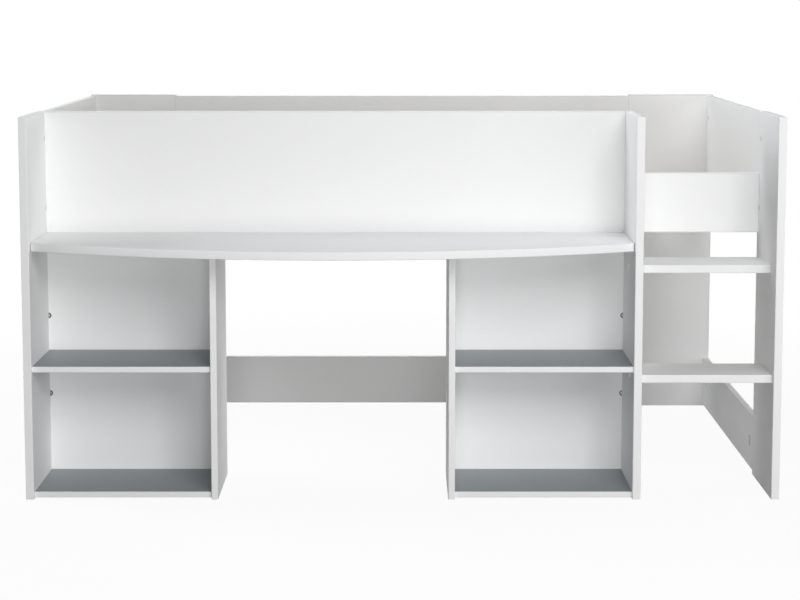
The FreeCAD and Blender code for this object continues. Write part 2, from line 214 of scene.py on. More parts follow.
def speckled(name, dark, pale, grain_mm, roughness, bump_mm, ior=1.5, octaves=3.0):
    """Two near colours mixed by a fine noise, with the same noise as relief: the skin of a pressed or
    moulded sheet."""
    made, tree, shader = new_material(name, roughness, ior)
    place = add(tree, "ShaderNodeTexCoord").outputs["Object"]
    grain = add(
        tree, "ShaderNodeTexNoise",
        {"Vector": place, "Scale": 1 / (grain_mm * mm), "Detail": octaves},
    )
    colour = add(
        tree, "ShaderNodeMix",
        {0: grain.outputs["Fac"], 6: linear(dark), 7: linear(pale)}, data_type="RGBA",
    )
    tree.links.new(colour.outputs[2], shader.inputs["Base Color"])
    relief = add(tree, "ShaderNodeBump", {"Height": grain.outputs["Fac"], "Distance": bump_mm * mm})
    tree.links.new(relief.outputs["Normal"], shader.inputs["Normal"])
    return made


def white_melamine():
    """Melamine-faced chipboard: paper pressed under resin, an even white with a fine pearl grain and a dull
    satin sheen."""
    return speckled(
        "white_melamine", "#ececec", "#f2f2f2", grain_mm=2.5, roughness=0.6, bump_mm=0.03, ior=1.55,
    )


def abs_edge_band():
    """Extruded ABS lipping: the same white a touch paler and duller than the faces."""
    return speckled("abs_edge_band", "#f1f1f1", "#f6f6f6", grain_mm=4.0, roughness=0.72, bump_mm=0.02)


def slate_melamine():
    """Melamine shelf face printed a plain slate grey, with a fine dull fleck."""
    return speckled(
        "slate_melamine", "#8d9498", "#989fa3", grain_mm=1.8, roughness=0.5, bump_mm=0.03, ior=1.55,
    )


def glue_line():
    """Hot-melt joint between face and edge band: a fine dull line, drawn at three times its real width so
    that it shows."""
    return speckled("glue_line", "#c3c3c1", "#cecfcd", grain_mm=1.0, roughness=0.7, bump_mm=0.02)


def moulded_cover_cap():
    """Moulded polyethylene cam covers: a greyer white than the boards, with a soft gloss that shows the
    ring."""
    return speckled("moulded_cover_cap", "#d2d2cf", "#dadad7", grain_mm=3.0, roughness=0.38, bump_mm=0.02)


def moulded_screw_cap():
    """Moulded polyethylene screw caps: a clean white with a soft gloss."""
    return speckled("moulded_screw_cap", "#f0f0ee", "#f5f5f3", grain_mm=3.0, roughness=0.38, bump_mm=0.02)


def moulded_pocket_liner():
    """Moulded cups that line the pockets of the rail bolts: white, and duller than the caps."""
    return speckled("moulded_pocket_liner", "#e6e6e4", "#ededeb", grain_mm=3.0, roughness=0.5, bump_mm=0.02)


def turned_beech():
    """Turned beech dowels: a warm tan wood with short fine flecks."""
    return speckled("turned_beech", "#c69a68", "#d8b183", grain_mm=1.5, roughness=0.6, bump_mm=0.05)


def raw_chipboard():
    """Bored chipboard: pressed wood chips, so a rough patchwork of pale and brown flakes."""
    made, tree, shader = new_material("raw_chipboard", roughness=0.85)
    chip_mm = 2.5
    chip_relief_mm = 0.4
    place = add(tree, "ShaderNodeTexCoord").outputs["Object"]
    chips = add(tree, "ShaderNodeTexVoronoi", {"Vector": place, "Scale": 1 / (chip_mm * mm)})
    tone = add(tree, "ShaderNodeSeparateColor", {"Color": chips.outputs["Color"]})
    colour = add(
        tree, "ShaderNodeMix",
        {0: tone.outputs["Red"], 6: linear("#8a7048"), 7: linear("#c9b183")}, data_type="RGBA",
    )
    tree.links.new(colour.outputs[2], shader.inputs["Base Color"])
    relief = add(
        tree, "ShaderNodeBump",
        {"Height": chips.outputs["Distance"], "Distance": chip_relief_mm * mm},
    )
    tree.links.new(relief.outputs["Normal"], shader.inputs["Normal"])
    return made


def wave_scale(pitch_mm):
    """The scale at which a wave texture repeats at this pitch."""
    return 2 * np.pi / (wave_radians * pitch_mm * mm)


def planed_pine(name, turn):
    """Planed pine: pale sapwood that darkens towards each late-wood line, a few small knots, fine fibres
    along the board and a tone that drifts from plank to plank."""
    made, tree, shader = new_material(name, roughness=0.55)
    ring_mm = 4.5
    ring_wander = 5.0
    ring_octaves = 2.0
    ring_wander_scale = 0.02
    fibre_mm = 1.2
    fibre_octaves = 4.0
    fibre_stretch_share = 0.03
    fibre_share = 0.35
    fibre_relief_mm = 0.15
    knot_spacing_mm = 130.0
    knot_core_mm = 2.5
    knot_rim_mm = 6.5
    knot_share = 0.8
    drift_mm = 500.0
    place = add(tree, "ShaderNodeTexCoord").outputs["Object"]
    seed = add(tree, "ShaderNodeAttribute", attribute_name="board_seed")
    shifted = add(tree, "ShaderNodeVectorMath", {0: place, 1: seed.outputs["Vector"]}, operation="ADD")
    lengthways = add(tree, "ShaderNodeMapping", {"Vector": shifted.outputs[0], "Rotation": turn})
    rings = add(
        tree, "ShaderNodeTexWave",
        {
            "Vector": lengthways.outputs[0], "Scale": wave_scale(ring_mm),
            "Distortion": ring_wander, "Detail": ring_octaves, "Detail Scale": ring_wander_scale,
        },
        wave_type="RINGS", rings_direction="Y", wave_profile="SAW",
    )
    squeezed = add(
        tree, "ShaderNodeMapping",
        {"Vector": lengthways.outputs[0], "Scale": (1.0, fibre_stretch_share, 1.0)},
    )
    fibres = add(
        tree, "ShaderNodeTexNoise",
        {"Vector": squeezed.outputs[0], "Scale": 1 / (fibre_mm * mm), "Detail": fibre_octaves},
    )
    drift = add(tree, "ShaderNodeTexNoise", {"Vector": shifted.outputs[0], "Scale": 1 / (drift_mm * mm)})
    early = add(
        tree, "ShaderNodeMix",
        {0: drift.outputs["Fac"], 6: linear("#eae5da"), 7: linear("#dfd6c6")}, data_type="RGBA",
    )
    wood = add(
        tree, "ShaderNodeMix",
        {0: rings.outputs["Fac"], 6: early.outputs[2], 7: linear("#cdbfa6")}, data_type="RGBA",
    )
    branches = add(
        tree, "ShaderNodeTexVoronoi",
        {"Vector": lengthways.outputs[0], "Scale": 1 / (knot_spacing_mm * mm)},
    )
    knots = add(
        tree, "ShaderNodeMapRange",
        {
            "Value": branches.outputs["Distance"],
            1: knot_core_mm / knot_spacing_mm, 2: knot_rim_mm / knot_spacing_mm, 3: knot_share, 4: 0.0,
        },
    )
    knotted = add(
        tree, "ShaderNodeMix",
        {0: knots.outputs[0], 6: wood.outputs[2], 7: linear("#947355")}, data_type="RGBA",
    )
    fibred = add(
        tree, "ShaderNodeMix",
        {0: fibre_share, 6: knotted.outputs[2], 7: fibres.outputs["Fac"]},
        data_type="RGBA", blend_type="SOFT_LIGHT",
    )
    tree.links.new(fibred.outputs[2], shader.inputs["Base Color"])
    relief = add(
        tree, "ShaderNodeBump",
        {"Height": fibres.outputs["Fac"], "Distance": fibre_relief_mm * mm},
    )
    tree.links.new(relief.outputs["Normal"], shader.inputs["Normal"])
    return made


def woven_webbing():
    """Woven polypropylene tape: ribs along and picks across, drawn at three times the real pitch so that
    they show."""
    made, tree, shader = new_material("woven_webbing", roughness=0.7)
    rib_mm = 3.0
    pick_mm = 4.5
    weave_relief_mm = 0.3
    place = add(tree, "ShaderNodeTexCoord").outputs["Object"]
    ribs = add(
        tree, "ShaderNodeTexWave",
        {"Vector": place, "Scale": wave_scale(rib_mm)}, bands_direction="Y",
    )
    picks = add(
        tree, "ShaderNodeTexWave",
        {"Vector": place, "Scale": wave_scale(pick_mm)}, bands_direction="X",
    )
    weave = add(
        tree, "ShaderNodeMath",
        {0: ribs.outputs["Fac"], 1: picks.outputs["Fac"]}, operation="MULTIPLY",
    )
    colour = add(
        tree, "ShaderNodeMix",
        {0: weave.outputs[0], 6: linear("#b9b8b2"), 7: linear("#e2e1db")}, data_type="RGBA",
    )
    tree.links.new(colour.outputs[2], shader.inputs["Base Color"])
    relief = add(tree, "ShaderNodeBump", {"Height": weave.outputs[0], "Distance": weave_relief_mm * mm})
    tree.links.new(relief.outputs["Normal"], shader.inputs["Normal"])
    return made


def metal(name, dark, pale, grain_mm, roughness, octaves=2.0):
    """A cast or plated metal: a grey whose tone drifts a little over the surface."""
    made, tree, shader = new_material(name, roughness, metallic=1.0)
    place = add(tree, "ShaderNodeTexCoord").outputs["Object"]
    grain = add(
        tree, "ShaderNodeTexNoise",
        {"Vector": place, "Scale": 1 / (grain_mm * mm), "Detail": octaves},
    )
    colour = add(
        tree, "ShaderNodeMix",
        {0: grain.outputs["Fac"], 6: linear(dark), 7: linear(pale)}, data_type="RGBA",
    )
    tree.links.new(colour.outputs[2], shader.inputs["Base Color"])
    return made


def zinc_casting():
    """Die-cast zinc: a mid grey with a soft gloss."""
    return metal("zinc_casting", "#a9abad", "#c2c4c6", grain_mm=2.0, roughness=0.4)


def dark_zinc_with_painted_shade():
    """Blackened die-cast zinc: a dark grey that draws each connector's rim, and painted shade for the
    shadow inside its pocket.
    """
    return metal("dark_zinc_with_painted_shade", "#3a3c3f", "#55585c", grain_mm=2.0, roughness=0.45)


def zinc_plated_steel():
    """Bright zinc plate on steel: a pale cool grey with a clear gloss."""
    return metal("zinc_plated_steel", "#b8bcc0", "#d6d9dc", grain_mm=3.0, roughness=0.28)


def skin(rings):
    """Closed skins over copies of a form: rings has axes copy, ring, point round the ring and xyz.
    Quads join each ring to the next all the way round, and one face closes each end."""
    copies, count, around = rings.shape[:3]
    index = np.arange(copies * count * around).reshape(copies, count, around)
    here = index[:, :-1]
    there = index[:, 1:]
    quads = np.stack([here, np.roll(here, -1, axis=2), np.roll(there, -1, axis=2), there], axis=-1)
    ends = np.concatenate([index[:, 0, ::-1], index[:, -1]])
    return rings.reshape(-1, 3), quads.reshape(-1, 4).tolist() + ends.tolist()


def shade(mesh):
    """Gentle curves shade smooth and arrises stay crisp."""
    mesh.shade_smooth()
    mesh.set_sharp_from_angle(angle=np.radians(crease_degrees))


def new_piece(name, points, faces, finishes, numbers=None):
    """An object at the origin with its place in its mesh, and the number of the finish of each of its
    faces."""
    mesh = bpy.data.meshes.new(name)
    mesh.from_pydata(points.tolist(), [], faces)
    for finish in finishes:
        mesh.materials.append(finish)
    if numbers is not None:
        mesh.polygons.foreach_set("material_index", numbers.astype(np.int32))
    shade(mesh)
    made = bpy.data.objects.new(name, mesh)
    bpy.context.scene.collection.objects.link(made)
    return made


def dress(piece, body, slot, *nodes):
    """The piece rides on its body and stands for its nodes. The slot is not used."""
    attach(piece, body)
    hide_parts(*nodes)


def node_box(name):
    """Lowest and highest corner of a CAD node as arrays, in metres."""
    low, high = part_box(name)
    return np.array(low), np.array(high)


def node_middle(name):
    """Middle of a CAD node's box, in metres."""
    low, high = node_box(name)
    return (low + high) / 2


def ends_in(box, axis, inset):
    """Two places along an axis of a box, each the inset in from its end."""
    low, high = box
    return low[axis] + inset, high[axis] - inset


def face_spots(axis, side, plane, first, second):
    """Spots on a face that lies across an axis: every pair of a first and a second place, along the two
    axes that follow it, each with the way the face looks."""
    spots = []
    for one in first:
        for two in second:
            place = np.zeros(3)
            place[axis] = plane
            place[(axis + 1) % 3] = one
            place[(axis + 2) % 3] = two
            facing = np.zeros(3)
            facing[axis] = side
            spots.append((place, facing))
    return spots


def rounded_outline(half_a, half_b, radii, margin=0.0):
    """Rectangles with a quarter circle in each corner, anticlockwise: corner centre plus radius times
    (cos t, sin t). half_a and half_b have one value per ring, radii four. A margin adds a point that far
    along the flats, before and after each corner."""
    turn = np.linspace(0, np.pi / 2, corner_points) + np.arange(4)[:, None] * np.pi / 2
    sign_a = np.array([1, -1, -1, 1])
    sign_b = np.array([1, 1, -1, -1])
    centre_a = sign_a * (half_a[:, None] - radii)
    centre_b = sign_b * (half_b[:, None] - radii)
    a = centre_a[..., None] + radii[..., None] * np.cos(turn)
    b = centre_b[..., None] + radii[..., None] * np.sin(turn)
    if margin:
        before_a = a[..., :1] + margin * np.sin(turn[:, :1])
        before_b = b[..., :1] - margin * np.cos(turn[:, :1])
        after_a = a[..., -1:] - margin * np.sin(turn[:, -1:])
        after_b = b[..., -1:] + margin * np.cos(turn[:, -1:])
        a = np.concatenate([before_a, a, after_a], axis=-1)
        b = np.concatenate([before_b, b, after_b], axis=-1)
    return a.reshape(len(half_a), -1), b.reshape(len(half_a), -1)


def board_shell(low, high, along, edges):
    """A board: a rounded rectangle carried along one axis. Near each end it draws in by r(1 - sin t) as it
    advances r(1 - cos t), so the ends round over too. edges are the radii of the low side, high side, low
    end and high end. Gives the points, the faces and the number of each face's finish."""
    axis_a, axis_b = (along + 1) % 3, (along + 2) % 3
    size = high - low
    middle = (high + low) / 2
    thin_is_b = size[axis_b] < size[axis_a]
    low_side, high_side, low_end, high_end = (radius * mm for radius in edges)
    by_side = [high_side, high_side, low_side, low_side]
    if thin_is_b:
        by_side = [high_side, low_side, low_side, high_side]
    turn = np.linspace(0, np.pi / 2, corner_points)
    low_draw = low_end * (1 - np.sin(turn))
    high_draw = high_end * (1 - np.sin(turn))
    inset = np.concatenate([low_draw, [0.0, 0.0], high_draw[::-1]])
    low_run = np.append(low_end * (1 - np.cos(turn)), low_end + joint_width * mm)
    high_run = np.append(high_end * (1 - np.cos(turn)), high_end + joint_width * mm)
    station = np.concatenate([low_run, size[along] - high_run[::-1]])
    radii = np.maximum(np.array(by_side) - inset[:, None], least_radius * mm)
    a, b = rounded_outline(size[axis_a] / 2 - inset, size[axis_b] / 2 - inset, radii, joint_width * mm)
    rings = np.empty(a.shape + (3,))
    rings[..., axis_a] = middle[axis_a] + a
    rings[..., axis_b] = middle[axis_b] + b
    rings[..., along] = low[along] + station[:, None]
    points, faces = skin(rings[None])
    return points, faces, board_finishes(thin_is_b, by_side, low_end, high_end)


def board_finishes(thin_is_b, by_side, low_end, high_end):
    """The number of the finish of each face of a board, in the order in which its skin is joined. The wide
    sides are faces, the narrow ones bands, and a joint line runs beside each banded edge."""
    banded = (np.array(by_side) + least_radius * mm) >= band_radius * mm
    around = np.full((4, corner_points + 2), band_number)
    joint_row = np.full((4, corner_points + 2), band_number)
    for corner in range(4):
        flat_follows = (corner % 2 == 0) == thin_is_b
        strip = -2 if flat_follows else 0
        around[corner, strip] = joint_number if banded[corner] else face_number
        joint_row[corner, strip] = joint_number
        if flat_follows:
            around[corner, -1] = face_number
            joint_row[corner, -1] = joint_number
    rows = np.full((2 * corner_points + 1, around.size), band_number)
    rows[corner_points] = around.ravel()
    rows[corner_points - 1] = (joint_row if low_end >= band_radius * mm else around).ravel()
    rows[corner_points + 1] = (joint_row if high_end >= band_radius * mm else around).ravel()
    return np.concatenate([rows.ravel(), [band_number, band_number]])


def drums(centres, axis, radius, depths):
    """Closed round drums: a circle carried along the axis through the two depths. It starts half a step
    round, so that no corner of it falls in the plane of a board's edge."""
    step = 2 * np.pi / round_points
    turn = step * np.arange(round_points) + step / 2
    rings = np.empty((len(centres), 2, round_points, 3))
    rings[..., (axis + 1) % 3] = radius * np.cos(turn)
    rings[..., (axis + 2) % 3] = radius * np.sin(turn)
    rings[..., axis] = np.array(depths)[:, None]
    return skin(rings + np.array(centres)[:, None, None])


def bore(piece, centres, axis, radius, depths, finish):
    """Sinks round pockets into a board: the board keeps what lies outside the drums, and the pockets' walls
    take the given finish."""
    points, faces = drums(centres, axis, radius, depths)
    cutter = new_piece("cutter", points, faces, [finish])
    cut = piece.modifiers.new("pockets", "BOOLEAN")
    cut.object = cutter
    cut.solver = "EXACT"
    cut.material_mode = "TRANSFER"
    solid = piece.evaluated_get(bpy.context.evaluated_depsgraph_get())
    bored = bpy.data.meshes.new_from_object(solid)
    shade(bored)
    piece.modifiers.clear()
    piece.data = bored
    bpy.data.objects.remove(cutter)


def make_board(name, along, edges, finishes, slot):
    """A banded board in the place of its CAD node. Its finishes are the face, the edge band and the line
    between."""
    low, high = node_box(name)
    points, faces, numbers = board_shell(low, high, along, edges)
    made = new_piece(name + "_board", points, faces, finishes, numbers)
    dress(made, "bed_frame", slot, name)
    return made


def cut_boards(white_board, slate_board):
    """Every straight board: the axis it runs along, and the radii of its two sides and two ends."""
    banded = (band_radius, band_radius, cut_radius, cut_radius)
    upright = (band_radius, band_radius, cut_radius, band_radius)
    fronted = (band_radius, cut_radius, cut_radius, cut_radius)
    sawn = (cut_radius, cut_radius, cut_radius, cut_radius)
    cuts = {
        "front_left_upright": (2, upright), "middle_upright": (2, upright),
        "front_right_upright": (2, upright),
        "rear_left_upright": (2, upright), "rear_right_upright": (2, upright),
        "left_end_board": (1, banded), "right_end_board": (1, banded),
        "left_end_lower_rail": (1, banded), "right_end_lower_rail": (1, banded),
        "rear_guard": (0, banded), "rear_lower_rail": (0, banded),
        "front_guard": (0, banded), "ladder_rail": (0, banded),
        "left_bookcase_side": (2, fronted), "right_bookcase_side": (2, fronted),
        "left_bookcase_back": (2, sawn), "right_bookcase_back": (2, sawn),
        "upper_step": (0, banded), "lower_step": (0, banded),
    }
    boards = {
        name: make_board(name, along, edges, white_board, "white_melamine_board")
        for name, (along, edges) in cuts.items()
    }
    for side in ("left", "right"):
        for level in ("bottom", "middle"):
            name = side + "_" + level + "_shelf"
            boards[name] = make_board(name, 0, fronted, slate_board, "slate_melamine_shelf")
    return boards


def desk_ends_y():
    """How far forward the desk's ends reach, in metres: there its bow starts."""
    return node_box("front_left_upright")[0][1] + desk_end_setback * mm


def desk_plan():
    """The desk's outline in plan, round the centre of the bow's circle, and how each of its points draws in
    where an edge rounds over. The front runs along the circle, with a fillet into each end, and the rear is
    straight. The draw-in is one unit along the bow and eases to a plain cut's share over the fillets."""
    low, high = node_box("desk_top")
    half_chord = (high[0] - low[0]) / 2
    rise = desk_ends_y() - low[1]
    radius = (half_chord ** 2 + rise ** 2) / (2 * rise)
    centre = np.array([(high[0] + low[0]) / 2, low[1] + radius])
    fillet = desk_corner_radius * mm
    fillet_x = half_chord - fillet
    fillet_y = -np.sqrt((radius - fillet) ** 2 - fillet_x ** 2)
    lean = np.arctan2(fillet_y, fillet_x)
    bend = np.linspace(-np.pi - lean, lean, desk_arc_points)
    corner = np.linspace(lean, 0, desk_corner_points)[1:]
    bow = np.stack([np.cos(bend), np.sin(bend)], axis=1)
    bent = np.stack([np.cos(corner), np.sin(corner)], axis=1)
    right = np.array([fillet_x, fillet_y]) + fillet * bent
    rear_y = high[1] - centre[1]
    rear = np.array([[half_chord, rear_y], [-half_chord, rear_y]])
    outline = np.concatenate([right[::-1] * (-1, 1), radius * bow, right, rear])
    cut_share = cut_radius / band_radius
    ease = np.linspace(1, cut_share, len(corner))[:, None] * bent
    rear_draw = cut_share * np.array([(1, 1), (-1, 1)])
    draw = np.concatenate([ease[::-1] * (-1, 1), bow, ease, rear_draw])
    return outline, draw, centre


def make_desk(finishes):
    """The desk top: its plan carried up through the thickness. Near the top and the underside it draws in
    by r(1 - sin t) as it rises r(1 - cos t), and a joint line runs beside the band on both faces."""
    low, high = node_box("desk_top")
    outline, draw, centre = desk_plan()
    turn = np.linspace(0, np.pi / 2, corner_points)
    draw_in = np.append(band_radius + joint_width, band_radius * (1 - np.sin(turn))) * mm
    inset = np.concatenate([draw_in, draw_in[::-1]])
    step = np.append(0.0, band_radius * (1 - np.cos(turn))) * mm
    height = np.concatenate([low[2] + step, high[2] - step[::-1]])
    rings = np.empty((1, len(inset), len(outline), 3))
    rings[..., :2] = centre + outline - inset[:, None, None] * draw
    rings[..., 2] = height[:, None]
    points, faces = skin(rings)
    numbers = np.full(len(faces), band_number)
    numbers[:len(outline)] = joint_number
    numbers[-2 - len(outline):-2] = joint_number
    numbers[-2:] = face_number
    made = new_piece("desk_top_board", points, faces, finishes, numbers)
    dress(made, "bed_frame", "white_melamine_board", "desk_top")


def bore_rails(boards, liner):
    """Pockets of the rail bolts: in the inner faces of the end rails and the rear face of the rear rail."""
    radius = pocket_diameter / 2 * mm
    setback = pocket_setback * mm
    depths = np.array([-pocket_depth, bore_overrun]) * mm
    for name, side in (("left_end_lower_rail", 1), ("right_end_lower_rail", -1)):
        rail = node_box(name)
        face = rail[1 if side > 0 else 0][0]
        centres = [(face, y, node_middle(name)[2]) for y in ends_in(rail, 1, setback)]
        bore(boards[name], centres, 0, radius, np.sort(side * depths), liner)
    rail = node_box("rear_lower_rail")
    centres = [(x, rail[1][1], node_middle("rear_lower_rail")[2]) for x in ends_in(rail, 0, setback)]
    bore(boards["rear_lower_rail"], centres, 1, radius, depths, liner)


def bore_bookcases(boards, core):
    """Pockets that show in each bookcase: of the half-moon cups in its back, and of the cams under its
    bottom shelf."""
    for case in ("left", "right"):
        centres = [place for place, toward in connector_places(case)]
        depths = np.array([-bore_overrun, connector_depth]) * mm
        bore(boards[case + "_bookcase_back"], centres, 1, connector_radius * mm, depths, core)
        shelf = node_box(case + "_bottom_shelf")
        across = ends_in(shelf, 0, cam_setback * mm)
        inward = ends_in(shelf, 1, shelf_cam_inset * mm)
        centres = [place for place, facing in face_spots(2, -1, shelf[0][2], across, inward)]
        depths = np.array([-bore_overrun, cam_depth]) * mm
        bore(boards[case + "_bottom_shelf"], centres, 2, cam_diameter / 2 * mm, depths, core)


def bore_step_caps(boards, core):
    """Recesses of the step screws' caps in the bed's outer face."""
    centres = [place for place, facing in step_cap_spots() if facing[0] > 0]
    radius = (step_cap_diameter / 2 + step_cap_gap) * mm
    depths = np.array([-step_cap_recess, bore_overrun]) * mm
    bore(boards["front_right_upright"], centres, 0, radius, depths, core)


def pine_board(name, suffix, along, end_radius, pine, seed):
    """A planed pine board with eased edges. Its seed shifts the grain and is kept as a vector on every
    point, so that no two boards come from the same plank."""
    low, high = node_box(name)
    points, faces = board_shell(low, high, along, (slat_radius, slat_radius, end_radius, end_radius))[:2]
    made = new_piece(name + suffix, points, faces, [pine])
    shift = made.data.attributes.new("board_seed", "FLOAT_VECTOR", "POINT")
    shift.data.foreach_set("vector", np.tile(seed - (low + high) / 2, len(points)).astype(np.float32))
    return made


def lay_slats():
    """The slats and the two battens that carry them, with the heart of the growth rings below each
    board."""
    lean = np.radians(grain_lean_degrees)
    slat_pine = planed_pine("planed_pine_slats", (lean, 0.0, lean))
    cleat_pine = planed_pine("planed_pine_cleats", (lean, 0.0, np.pi / 2 + lean))
    rng = np.random.default_rng(grain_seed)
    heart = np.array([0.0, 0.0, heart_depth * mm])
    shift = np.array(grain_shift) * mm
    for number in range(1, slat_count + 1):
        name = "slat_%02d" % number
        seed = heart + rng.uniform(-1, 1, 3) * shift
        slat = pine_board(name, "_pine", 1, slat_end_radius, slat_pine, seed)
        dress(slat, "slatted_base", "pine", name)
    for name in ("front_slat_cleat", "rear_slat_cleat"):
        seed = heart + rng.uniform(-1, 1, 3) * shift
        cleat = pine_board(name, "_batten", 0, cut_radius, cleat_pine, seed)
        dress(cleat, "bed_frame", "pine", name)


def make_strap(name, webbing):
    """A strap: a flat outline with thin selvedges carried along the bed. On a slat it lies on the wood, and
    between slats it sinks by the sag times sin squared of its share of the gap."""
    low, high = node_box(name)
    first = node_box("slat_01")
    last = node_box("slat_%02d" % slat_count)
    pitch = (last[0][0] - first[0][0]) / (slat_count - 1)
    slat_share = (first[1][0] - first[0][0]) / pitch
    x = np.linspace(low[0], high[0], slat_count * strap_stations_per_slat)
    share = ((x - first[0][0]) / pitch) % 1
    free = np.clip((share - slat_share) / (1 - slat_share), 0, 1)
    sink = strap_sag * mm * np.sin(np.pi * free) ** 2
    half_width = np.full(len(x), (high[1] - low[1]) / 2)
    half_depth = np.full(len(x), (high[2] - low[2]) / 2)
    y, z = rounded_outline(half_width, half_depth, np.full((len(x), 4), strap_selvedge * mm))
    rings = np.empty((1,) + y.shape + (3,))
    rings[..., 0] = x[:, None]
    rings[..., 1] = y + (low[1] + high[1]) / 2
    rings[..., 2] = z + (low[2] + high[2]) / 2 - sink[:, None]
    made = new_piece(name + "_webbing", *skin(rings), [webbing])
    dress(made, "slatted_base", "webbing", name)


def make_staples(steel):
    """Staples: a round wire carried up one leg, round a bend, along the crown and down the other leg."""
    turn = np.linspace(0, np.pi / 2, corner_points)
    half_crown = staple_crown / 2 - staple_wire / 2
    bend_y = half_crown - staple_bend + staple_bend * np.sin(turn)
    bend_z = -staple_bend + staple_bend * np.cos(turn)
    run_y = np.concatenate([bend_y, [half_crown]])
    run_z = np.concatenate([bend_z, [-staple_leg]])
    lean = np.concatenate([turn, [np.pi / 2]])
    path_y = np.concatenate([run_y[::-1], -run_y])
    path_z = np.concatenate([run_z[::-1], run_z])
    normal_y = np.concatenate([np.sin(lean)[::-1], -np.sin(lean)])
    normal_z = np.concatenate([np.cos(lean)[::-1], np.cos(lean)])
    round_wire = np.linspace(0, 2 * np.pi, staple_wire_points, endpoint=False)
    across = staple_wire / 2 * np.cos(round_wire)
    outward = staple_wire / 2 * np.sin(round_wire)
    ring = np.empty((len(path_y), len(across), 3))
    ring[..., 0] = across
    ring[..., 1] = path_y[:, None] + outward * normal_y[:, None]
    ring[..., 2] = path_z[:, None] + outward * normal_z[:, None]
    height = node_box("strap_staples")[1][2] - staple_wire / 2 * mm
    x = np.linspace(node_middle("slat_01")[0], node_middle("slat_%02d" % slat_count)[0], slat_count)
    straps = [node_middle(name)[1] for name in ("front_strap", "rear_strap")]
    spot = np.array([(px, py, height) for px in x for py in straps])
    made = new_piece("staple_set", *skin(ring * mm + spot[:, None, None]), [steel])
    dress(made, "slatted_base", "zinc_plated_steel", "strap_staples")


def turned(places, facings, radii, heights):
    """Turned forms: a profile of radius and height swept round the axis that each place faces along. Both
    are arrays whose axes end in ring and point round the ring, and a place may have its own."""
    turn = np.linspace(0, 2 * np.pi, round_points, endpoint=False)
    facings = np.array(facings, float)
    side = np.roll(facings, 1, axis=1)
    other = np.cross(facings, side)
    shape = (
        (radii * np.cos(turn))[..., None] * side[:, None, None]
        + (radii * np.sin(turn))[..., None] * other[:, None, None]
        + (heights + np.zeros(round_points))[..., None] * facings[:, None, None]
    )
    return skin(shape * mm + np.array(places)[:, None, None])


def end_cover_spots():
    """The covers on the inner faces of the end boards and of the front uprights beside them."""
    setback = cam_setback * mm
    spots = []
    for end, side in (("left", 1), ("right", -1)):
        board = node_box(end + "_end_board")
        upright = node_box("front_" + end + "_upright")
        face = 1 if side > 0 else 0
        heights = ends_in(board, 2, end_board_cam_share * (board[1][2] - board[0][2]))
        spots += face_spots(0, side, board[face][0], (board[1][1] - setback,), heights)
        spots += face_spots(0, side, upright[face][0], (upright[1][1] - setback,), heights)
    return spots


def bookcase_cover_spots():
    """The covers under each middle shelf and near the top of each bookcase side."""
    setback = cam_setback * mm
    spots = []
    for case, side in (("left", -1), ("right", 1)):
        shelf = node_box(case + "_middle_shelf")
        wall = node_box(case + "_bookcase_side")
        face = 1 if side > 0 else 0
        depths = ends_in(shelf, 1, shelf_cam_inset * mm)
        spots += face_spots(2, -1, shelf[0][2], ends_in(shelf, 0, setback), depths)
        spots += face_spots(0, side, wall[face][0], depths, (wall[1][2] - setback,))
    return spots


def desk_cover_spots():
    """The covers under the desk: two at each end, in line with the front guard's, and a row along the
    rear."""
    setback = cam_setback * mm
    inset = desk_cam_inset * mm
    low, high = node_box("desk_top")
    across = ends_in(node_box("front_guard"), 0, setback)
    row = (low[0] + high[0]) / 2 + np.array([-1, 0, 1]) * desk_cam_pitch * mm
    ends = face_spots(2, -1, low[2], across, (desk_ends_y() + inset, high[1] - inset))
    return ends + face_spots(2, -1, low[2], row, (high[1] - setback,))


def guard_cover_spots():
    """The covers on the rear faces of the three guards. On the two front ones they are spread above the
    slats."""
    slat_top = node_box("slat_01")[1][2]
    rear_bottom = node_box("rear_guard")[0][2]
    rows = (
        ("front_guard", slat_top, front_guard_cam_share),
        ("ladder_rail", slat_top, ladder_rail_cam_share),
        ("rear_guard", rear_bottom, rear_guard_cam_share),
    )
    spots = []
    for name, bottom, share in rows:
        board = node_box(name)
        top = board[1][2]
        inset = share * (top - bottom)
        across = ends_in(board, 0, cam_setback * mm)
        spots += face_spots(1, 1, board[1][1], (bottom + inset, top - inset), across)
    return spots


def make_covers(cap):
    """Cam covers: thin moulded caps, a low dome with a shallow ring pressed into it and a rounded rim. The
    dome falls by the crown times the share of the radius squared."""
    share = np.array(cover_dome_shares + cover_groove_shares + cover_rim_shares)
    height = cover_thickness - cover_crown * share ** 2
    height[np.isin(share, cover_groove_shares)] -= cover_groove_depth
    height[-2] -= cover_crown
    height[-1] = 0.0
    radii = cover_diameter / 2 * share[::-1, None]
    spots = end_cover_spots() + bookcase_cover_spots() + desk_cover_spots() + guard_cover_spots()
    made = new_piece("cam_cover_caps", *turned(*zip(*spots), radii, height[::-1, None]), [cap])
    dress(made, "bed_frame", "white_cap", "cam_covers")


def connector_places(case):
    """The four pockets of a bookcase's back: places on the edges of its front face, and which way the case
    opens."""
    low, high = node_box(case + "_bookcase_back")
    spots = []
    for height in connector_heights:
        spots.append((np.array([low[0], low[1], height * mm]), 1))
        spots.append((np.array([high[0], low[1], height * mm]), -1))
    return spots


